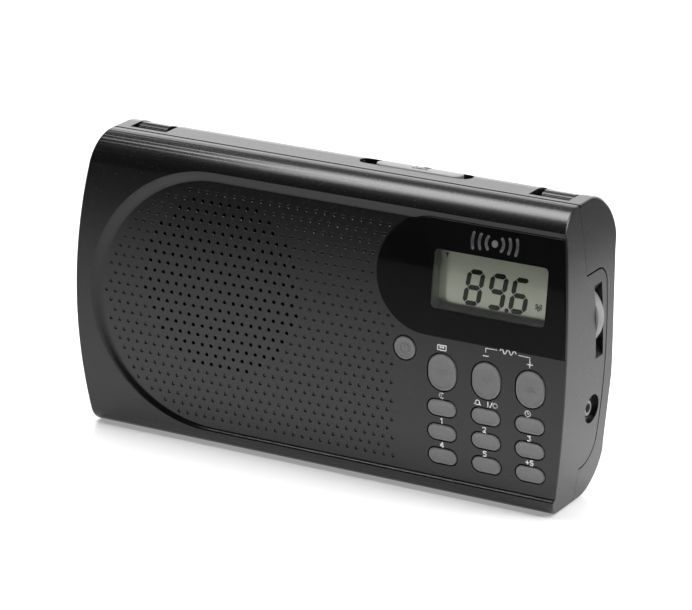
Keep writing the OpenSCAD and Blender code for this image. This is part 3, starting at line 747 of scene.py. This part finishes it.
def rear_shell():
    """The CAD shell with rounded end edges, cut back round the end walls and along the top seam."""
    shell = cad_copy("rear_case", "rear_shell")
    boolean(shell, rounded_case(), "INTERSECT")
    for side in (-1, 1):
        boolean(shell, end_prism(tab_outline(0.6), side * 92, side * 106), "DIFFERENCE")
    front, back, floor = SPLIT_Y, SPLIT_Y + 0.95, CASE_H - 1.0
    seam = [(front - 1, floor), (back, floor), (back, CASE_H + 2), (front - 1, CASE_H + 2)]
    boolean(shell, end_prism(seam, -106, 106), "DIFFERENCE")
    set_normals(shell.data, 30, case_normal)
    dress(shell, "case", "case_plastic", "rear_shell")
    # A near-black strip of painted shade lies in the seam's floor, with a stem down the gap between the
    # shells
    stem, over, lap = 0.14, 0.01, 0.08
    fill = [(front, floor - 1.5), (front + stem, floor - 1.5), (front + stem, floor + over),
            (back - over, floor + over), (back - over, floor + lap), (front, floor + lap)]
    new_object("seam_shade_fill", end_prism(fill, -95.3, 95.3), "case", "case_plastic", look="painted_gap_shade")


def smooth_copy(node, name):
    """A CAD node welded and shaded smoothly, with sharp edges kept."""
    piece = cad_copy(name, node)
    set_normals(piece.data, 30)
    slot = next(sub["material_slot"] for sub in frame["record"]["subparts"] if sub["node"] == node)
    dress(piece, node, slot, node)


# ---------------------------------------------------------------- keys, lens and display
def rim(outline_at, depth, radius, steps=4):
    """Rings that round off the edge of a cap: outline_at(inset) at each depth."""
    out = []
    for k in range(steps + 1):
        a = math.pi / 2 * k / steps
        out.append((outline_at(radius * (1 - math.cos(a))), depth + radius * (1 - math.sin(a))))
    return out


def keys():
    """Each key's cap with a rounded rim and a shallow dish, and the sign raised on some of them."""
    for name, (x, z, w, h) in KEYS.items():
        rings = rim(lambda inset: oval(x, z, w, h, inset), KEY_DEPTH, 0.4)
        rings += [(oval(x, z, w, h, 0.75), KEY_DEPTH), (oval(x, z, w, h, 0.95), KEY_DEPTH + KEY_DISH)]
        mesh = outward(sheet_mesh(name, cap(rings, KEY_BACK, 1.5)))
        set_normals(mesh, 40)
        new_object(name + "_cap", mesh, name, "key_plastic", name)
        if name in KEY_MARKS:
            mark(name + "_mark", KEY_MARKS[name](x, z), KEY_DEPTH + KEY_DISH, 0.09, name, "key_plastic")


def lens():
    """The glossy black lens, and the clear window in it as a piece of its own."""
    rings = rim(lambda inset: d_outline(LENS, inset, 0.15 + 2.4 * inset), LENS_DEPTH, 0.25, 3)
    side = cap_side(rings, RECESS + 0.02)
    verts, tris = triangles(rings[-1][0], inner=[round_rect(*WINDOW)], grid=2.5)
    black = [[on_face(*verts[k], LENS_DEPTH) for k in tri] for tri, within in tris if not within]
    clear = [[on_face(*verts[k], LENS_DEPTH) for k in tri] for tri, within in tris if within]
    for name, faces, look, nodes in (("lens", side + black, "lens_gloss", ["display_lens"]),
                                     ("lens_window", clear, "lens_window", [])):
        mesh = flip_to(sheet_mesh(name, faces), FACE_OUT)
        set_normals(mesh, 40, near_face(0.999))
        new_object(name, mesh, "case", "lens_gloss", *nodes, look=look)


def lcd_y(z):
    """Depth of the display's own face, which follows the curve of the front."""
    return face_y(z, 5.4) + 0.6


def digit(x, z, w, h, lit, lean=0.13):
    """The lit bars of one seven-bar digit centred on (x, z)."""
    thick, gap = 1.75, 0.2
    hw, hh = (w - thick) / 2, (h - thick) / 2
    bars = {"a": ((-hw, hh), (hw, hh)), "g": ((-hw, 0), (hw, 0)), "d": ((-hw, -hh), (hw, -hh)),
            "f": ((-hw, 0), (-hw, hh)), "b": ((hw, 0), (hw, hh)),
            "e": ((-hw, -hh), (-hw, 0)), "c": ((hw, -hh), (hw, 0))}
    loops = []
    for key in lit:
        (ax, az), (bx, bz) = bars[key]
        length = math.dist((ax, az), (bx, bz))
        ux, uz = (bx - ax) / length, (bz - az) / length
        s = thick / 2
        far = length - gap
        pts = [(gap, 0), (gap + s, s), (far - s, s), (far, 0), (far - s, -s), (gap + s, -s)]
        loop = [(ax + p * ux - q * uz, az + p * uz + q * ux) for p, q in pts]
        loops.append([(x + px + lean * pz, z + pz) for px, pz in loop])
    return loops


def stroke(points, width, n=6):
    """Loops that together draw a round-ended line through points."""
    loops = []
    for (x0, z0), (x1, z1) in zip(points, points[1:]):
        a = math.degrees(math.atan2(z1 - z0, x1 - x0))
        loops.append(arc(x1, z1, width / 2, a - 90, a + 90, n) + arc(x0, z0, width / 2, a + 90, a + 270, n))
    return loops


def display():
    """The display's face with its reading, seen through the window."""
    wx, wz, ww, wh, _ = WINDOW
    outline = round_rect(wx, wz, ww + 1.0, wh + 1.0, 1.9)
    at = laid_on(lcd_y)
    face = sheet_mesh("display_face", filled(outline, lambda x, z: at(x, z, 0), 2.0))
    flip_to(face, Vector((0, -1, 0)))
    set_normals(face, 30, lambda co, flat: face_normal(co.z * 1000))
    new_object("display_face", face, "case", "lcd", "lcd_glass")
    digit_w, digit_h, digit_z = 7.0, 13.0, 77.8
    loops = []
    for x, lit in ((61.2, "abcdefg"), (70.4, "abcdfg"), (79.2, "acdefg")):
        loops += digit(x, digit_z, digit_w, digit_h, lit)
    loops += [circle(74.5, 71.9, 0.8)]
    loops += waves(86.8, 75.4, 2.4, 1.3, 0.3) + waves(86.8, 74.3, 2.4, 1.3, 0.3)
    loops += lines(49.8, 88.5, 0.26, [(-0.8, 0), (0, -0.9), (0.8, 0)], [(0, 0), (0, -1.7)])
    faces = []
    for loop in loops:
        faces += tile(loop, at, -0.12, 0)
    mesh = flip_to(sheet_mesh("reading", faces), Vector((0, -1, 0)))
    new_object("reading", mesh, "case", "lcd", look="segment")


# ---------------------------------------------------------------- printed and raised marks
def waves(x, z, w, h, width, turns=1.5):
    """A short wavy line centred on (x, z)."""
    n = 18
    return stroke([(x + w * (i / n - 0.5), z + h / 2 * math.sin(2 * math.pi * turns * i / n))
                   for i in range(n + 1)], width)


def lines(x, z, width, *paths):
    """Paths drawn round (x, z) as lines of one width."""
    out = []
    for path in paths:
        out += stroke([(x + px, z + pz) for px, pz in path], width)
    return out


def ring(x, z, r, width, a0=0, a1=360):
    return stroke(arc(x, z, r, a0, a1, 20), width, 3)


# Strokes of each numeral round its middle
NUMERALS = {
    "1": [[(-0.35, 0.65), (0.1, 0.95), (0.1, -0.95)]],
    "2": [[(-0.6, 0.55), (-0.3, 0.9), (0.3, 0.9), (0.6, 0.5), (0.5, 0.05), (-0.6, -0.9), (0.65, -0.9)]],
    "3": [[(-0.55, 0.9), (0.55, 0.9), (0.0, 0.2), (0.5, -0.05), (0.55, -0.6), (0.15, -0.95), (-0.6, -0.75)]],
    "4": [[(0.3, -0.95), (0.3, 0.95), (-0.65, -0.4), (0.65, -0.4)]],
    "5": [[(0.5, 0.9), (-0.45, 0.9), (-0.5, 0.1), (0.2, 0.2), (0.6, -0.3), (0.2, -0.9), (-0.55, -0.8)]],
    "+": [[(-0.55, 0), (0.55, 0)], [(0, 0.55), (0, -0.55)]],
}


def power_sign(x, z):
    return ring(x, z, 1.7, 0.35, 120, 420) + lines(x, z, 0.35, [(0, 0.3), (0, 2.0)])


def ribs(x, z):
    return lines(x, z, 0.5, *[[(k * 0.9, -0.8), (k * 0.9, 0.8)] for k in (-2, -1, 0, 1, 2)])


def chevron(x, z, up):
    return lines(x, z, 0.45, [(-1.6, -0.8 * up), (0, 0.9 * up), (1.6, -0.8 * up)])


KEY_MARKS = {"key_power": power_sign, "key_memory": ribs,
             "key_tune_down": lambda x, z: chevron(x, z, -1),
             "key_tune_up": lambda x, z: chevron(x, z, 1) + lines(x, z, 0.45, [(-1.6, -0.8), (1.6, -0.8)])}


def mark(name, loops, depth, lift, body, look):
    """Thin tiles laid on the front: loops in (x, z), lift proud of the surface at depth."""
    at = laid_on(lambda z: face_y(z, depth))
    faces = []
    for loop in loops:
        faces += tile(loop, at, -lift, 0)
    mesh = flip_to(sheet_mesh(name, faces), FACE_OUT)
    new_object(name, mesh, body, "key_plastic", look=look)


def labels():
    """Pictograms and numerals printed over the keys."""
    bold, fine = 0.42, 0.28
    card = [(-1.7, -0.9), (-1.7, 0.9), (1.7, 0.9), (1.7, -0.9), (-1.7, -0.9)]
    flag = [(-0.7, 0.9), (-0.7, -0.2), (0, 0.3), (0.7, -0.2), (0.7, 0.9)]
    bell = [(-1.3, -0.7), (-0.8, -0.2), (-0.7, 0.6), (0, 1.0), (0.7, 0.6), (0.8, -0.2), (1.3, -0.7),
            (-1.3, -0.7)]
    loops = lines(52.3, 56.0, bold, card, flag)
    loops += lines(69.7, 56.1, bold, [(-1.0, 0), (1.0, 0)])
    loops += lines(87.0, 56.0, bold, [(-1, 0), (1, 0)], [(0, 1), (0, -1)])
    loops += lines(0, 0, fine, [(69.6, 57.5), (69.6, 58.9), (74.0, 59.0)],
                   [(82.6, 58.6), (86.9, 58.5), (86.9, 57.1)])
    loops += waves(78.3, 59.0, 6.2, 1.8, bold, 2.5)
    loops += ring(52.7, 38.3, 1.0, bold, 60, 300) + ring(53.3, 38.3, 0.9, 0.2, 110, 250)
    loops += lines(66.9, 38.4, bold, bell)
    loops += lines(71.0, 38.4, bold, [(0, 0.9), (0, -0.9)], [(0.9, -0.9), (1.7, 0.9)])
    loops += ring(73.9, 38.4, 0.85, bold)
    loops += ring(86.7, 37.9, 1.05, bold) + lines(86.7, 37.9, fine, [(0, 0.75), (0, 0), (0.5, 0)])
    for key, x, z in (("1", 52.6, 28.7), ("2", 69.6, 28.6), ("3", 87.3, 28.7), ("4", 52.5, 19.45),
                      ("5", 69.7, 19.4), ("+", 86.5, 19.5), ("5", 88.2, 19.5)):
        loops += lines(x, z, 0.44, *NUMERALS[key])
    mark("key_labels", loops, RECESS, 0.03, "case", "print_white")


def emblem():
    """Radio waves over the display: a dot between three pairs of arcs."""
    cx, cz = 70.7, 96.2
    loops = [circle(cx, cz, 1.25, 20)]
    for r, half in ((3.4, 38), (6.1, 24), (8.8, 17.5)):
        loops += ring(cx, cz, r, 1.15, -half, half) + ring(cx, cz, r, 1.15, 180 - half, 180 + half)
    mark("emblem", loops, LENS_DEPTH, 0.03, "case", "print_grey")


def lens_gap_shade():
    """The dark line round the lens: a near-black sheet of painted shade laid just over the sunk floor at the
    lens's edge.
    """
    outer, inner = d_outline(LENS, -0.4, 0.1), d_outline(LENS, 0.05, 0.1 - 1e-4)
    at = laid_on(lambda z: face_y(z, RECESS))
    faces = filled(outer, lambda x, z: at(x, z, -0.02), holes=[inner])
    mesh = flip_to(sheet_mesh("lens_gap_shade", faces), FACE_OUT)
    new_object("lens_gap_shade", mesh, "case", "black_parts", look="painted_gap_shade")


def wheel():
    """The thumbwheel with fine ridges round its rim, and its spindle."""
    ridges, points_each = 108, 4
    groove_depth, rim_w, spindle_r, hub_r = 0.4, 4.7, 2.76, 2.6
    n = ridges * points_each
    low, high = [corner * 1000 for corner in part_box("volume_wheel")]
    r, cz = (high.z - low.z) / 2, (high.z + low.z) / 2
    cx = high.x - X0 - r
    front, back = high.y - rim_w, high.y

    def turned(y, radius_at):
        row = []
        for i in range(n):
            a = 2 * math.pi * i / n
            row.append(put(cx + radius_at(i) * math.cos(a), y, cz + radius_at(i) * math.sin(a)))
        return row

    def ridged(y, drop):
        def radius_at(i):
            return r - drop - groove_depth * (0.5 - 0.5 * math.cos(2 * math.pi * i / points_each))

        return turned(y, radius_at)

    def smooth(y, radius):
        return turned(y, lambda i: radius)

    base_r = r - 0.5 - groove_depth
    rows = [smooth(front, hub_r), smooth(front, base_r), ridged(front + 0.2, 0.12),
            ridged(front + 0.45, 0), ridged(back - 0.45, 0), ridged(back - 0.2, 0.12),
            smooth(back, base_r), smooth(back, hub_r)]
    spindle = [smooth(low.y, spindle_r), smooth(front, spindle_r)]
    faces = bands(rows) + band(*spindle) + [spindle[0], rows[-1][::-1]]
    mesh = outward(sheet_mesh("thumb_wheel", faces))
    set_normals(mesh, 40)
    new_object("thumb_wheel", mesh, "volume_wheel", "wheel_plastic", "volume_wheel")


def top_z(y):
    """Height of the case's top surface at depth y."""
    cy, cz = rear_y(CASE_H - REAR_R, REAR_R), CASE_H - REAR_R
    return CASE_H if y < cy else cz + math.sqrt(REAR_R ** 2 - (y - cy) ** 2)


def on_top(x, y, depth):
    """A point depth under the case's top surface."""
    return put(x, y, top_z(y) - depth)


def snooze_key():
    """The long key in the top, with a raised half sun and a bump on its rear edge."""
    x, y, proud, mark_top = 27.75, 6.9, 0.25, 0.42
    rings = rim(lambda inset: oval(x, y, 34.5, 6.3, inset), -proud, 0.45)
    faces = cap(rings, KEY_BACK, 2.0, on_top)
    sun_x, sun_y = x + 0.2, y - 0.6
    marks = [arc(sun_x, sun_y, 1.5, 0, 180, 14)]
    for ray in range(6):
        c, s = math.cos(math.pi * ray / 5), math.sin(math.pi * ray / 5)
        marks += lines(sun_x, sun_y, 0.35, [(2.1 * c, 2.1 * s), (3.0 * c, 3.0 * s)])
    marks += [oval(x + 2.0, y + 2.3, 2.4, 0.9)]
    for loop in marks:
        faces += tile(loop, on_top, -mark_top, -0.1)
    mesh = flip_to(sheet_mesh("snooze_cap", faces), Vector((0, 0, 1)))
    set_normals(mesh, 40)
    new_object("snooze_cap", mesh, "snooze_key", "key_plastic", "snooze_key", look="snooze_plastic")


# ---------------------------------------------------------------- lights, floor, camera
def light_panel(name, at, look, size, power):
    light = bpy.data.lights.new(name, "AREA")
    light.shape = "RECTANGLE"
    light.size, light.size_y = size
    light.energy = power
    holder = bpy.data.objects.new(name, light)
    bpy.context.scene.collection.objects.link(holder)
    holder.location = at
    holder.rotation_euler = (Vector(look) - Vector(at)).to_track_quat("-Z", "Y").to_euler()


def board(name, corners, tone, rough, glow=0.0):
    """A flat sheet of one grey that stands round the object, and may glow."""
    mesh = bpy.data.meshes.new(name)
    mesh.from_pydata(corners, [], [[0, 1, 2, 3]])
    sheet = bpy.data.objects.new(name, mesh)
    bpy.context.scene.collection.objects.link(sheet)
    mat = bpy.data.materials.new(name)
    mat.use_nodes = True
    bsdf = mat.node_tree.nodes["Principled BSDF"]
    bsdf.inputs["Base Color"].default_value = (tone, tone, tone, 1)
    bsdf.inputs["Roughness"].default_value = rough
    bsdf.inputs["Emission Color"].default_value = (1, 1, 1, 1)
    bsdf.inputs["Emission Strength"].default_value = glow
    mesh.materials.append(mat)


def staging():
    """A white table and walls under a wide overhead light, in an almost black world (metres)."""
    scene = bpy.context.scene
    world = bpy.data.worlds.new("studio")
    scene.world = world
    world.use_nodes = True
    world.node_tree.nodes["Background"].inputs["Color"].default_value = (0.012, 0.012, 0.012, 1)
    light_panel("overhead", (-0.09, 0.085, 1.1), (-0.09, 0.085, 0), (1.18, 0.55), 21)
    light_panel("right_wash", (0.6, 0.12, 0.45), (0.2, 0.16, 0), (0.25, 0.25), 3)
    left, right, front, back, low, high = -4, 4, -1.1, 2.6, -0.1, 2.2
    board("floor", [(left, front, 0), (right, front, 0), (right, 4, 0), (left, 4, 0)], 0.7, 0.25, 0.3)
    board("backdrop", [(left, 2.2, low), (right, 2.2, low), (right, back, high), (left, back, high)],
          0.9, 0.8, 1.8)
    board("left_wall", [(-3.5, front, low), (-3.5, back, low), (-3.7, back, high), (-3.7, front, high)],
          0.9, 0.8, 0.9)
    near, far, card_h = (0.45, 0.26), (0.195, 0.407), 0.6
    board("right_card", [(*far, 0), (*near, 0), (*near, card_h), (*far, card_h)], 0.25, 0.9)
    scene.view_settings.view_transform = "Standard"


def camera():
    """The photograph's viewpoint: a long lens, 30 degrees to the right and 19 degrees up."""
    at, down, turn = (0.65638, -1.13535, 0.51361), 70.7794, 29.982
    data = bpy.data.cameras.new("camera")
    data.lens = 200
    data.sensor_width = 36
    data.clip_end = 20
    view = bpy.data.objects.new("camera", data)
    bpy.context.scene.collection.objects.link(view)
    view.location = (at[0] + X0 / 1000, at[1], at[2])
    view.rotation_euler = (math.radians(down), 0, math.radians(turn))
    bpy.context.scene.camera = view


carry_cad_looks()
front_shell()
rear_shell()
smooth_copy("battery_door", "door")
smooth_copy("handle", "grip")
keys()
lens()
display()
labels()
emblem()
lens_gap_shade()
wheel()
snooze_key()
staging()
camera()
